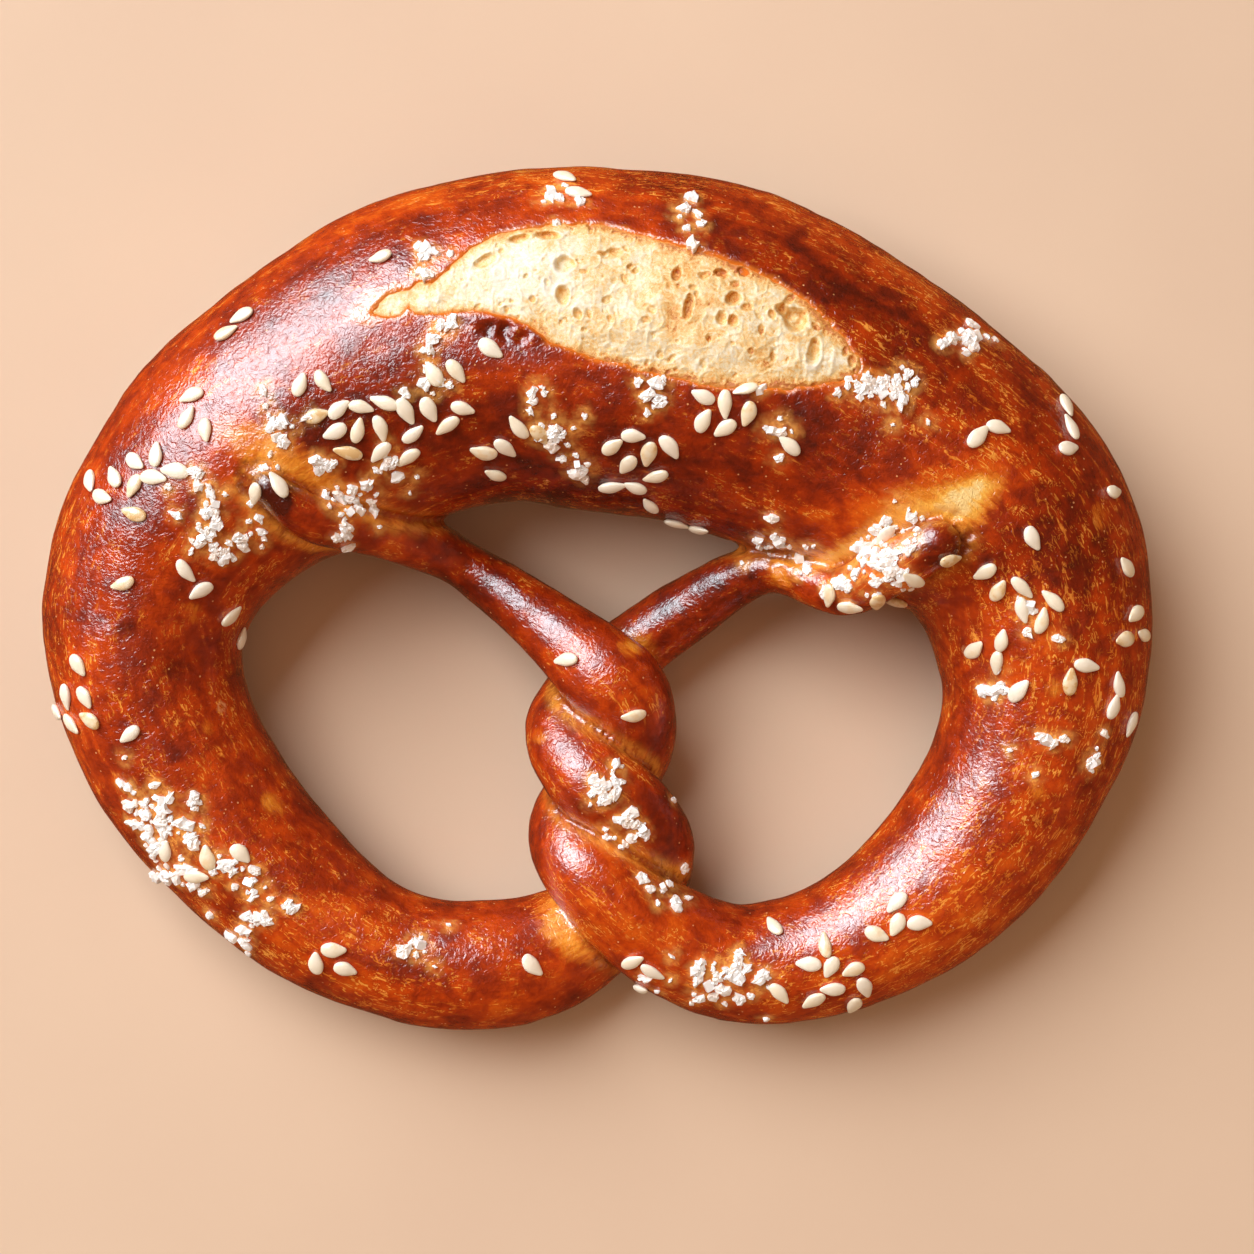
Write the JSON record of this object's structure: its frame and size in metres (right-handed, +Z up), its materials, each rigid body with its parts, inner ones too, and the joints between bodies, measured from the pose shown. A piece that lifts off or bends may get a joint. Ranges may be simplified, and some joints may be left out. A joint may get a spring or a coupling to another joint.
{
  "type": "soft pretzel",
  "caption": "Soft pretzel of twisted dough rope with open loops, a burst belly, sesame seeds and coarse salt.",
  "frame": {"origin": "middle of the bounding box, on the table under the pretzel", "axes": "+X along the width, to the right as seen from above with the belly at the back; +Y from the twist towards the belly; +Z up from the table"},
  "size_m": [0.1506, 0.1174, 0.0341],
  "materials": {
    "crust": "glossy baked lye crust, mahogany to orange brown",
    "crumb": "open cream crumb, dull",
    "sesame": "hulled sesame seed, satin ivory",
    "salt": "coarse white salt, slightly clear"
  },
  "bodies": {
    "root": {"pretzel": "crust"}
  },
  "joints": []
}
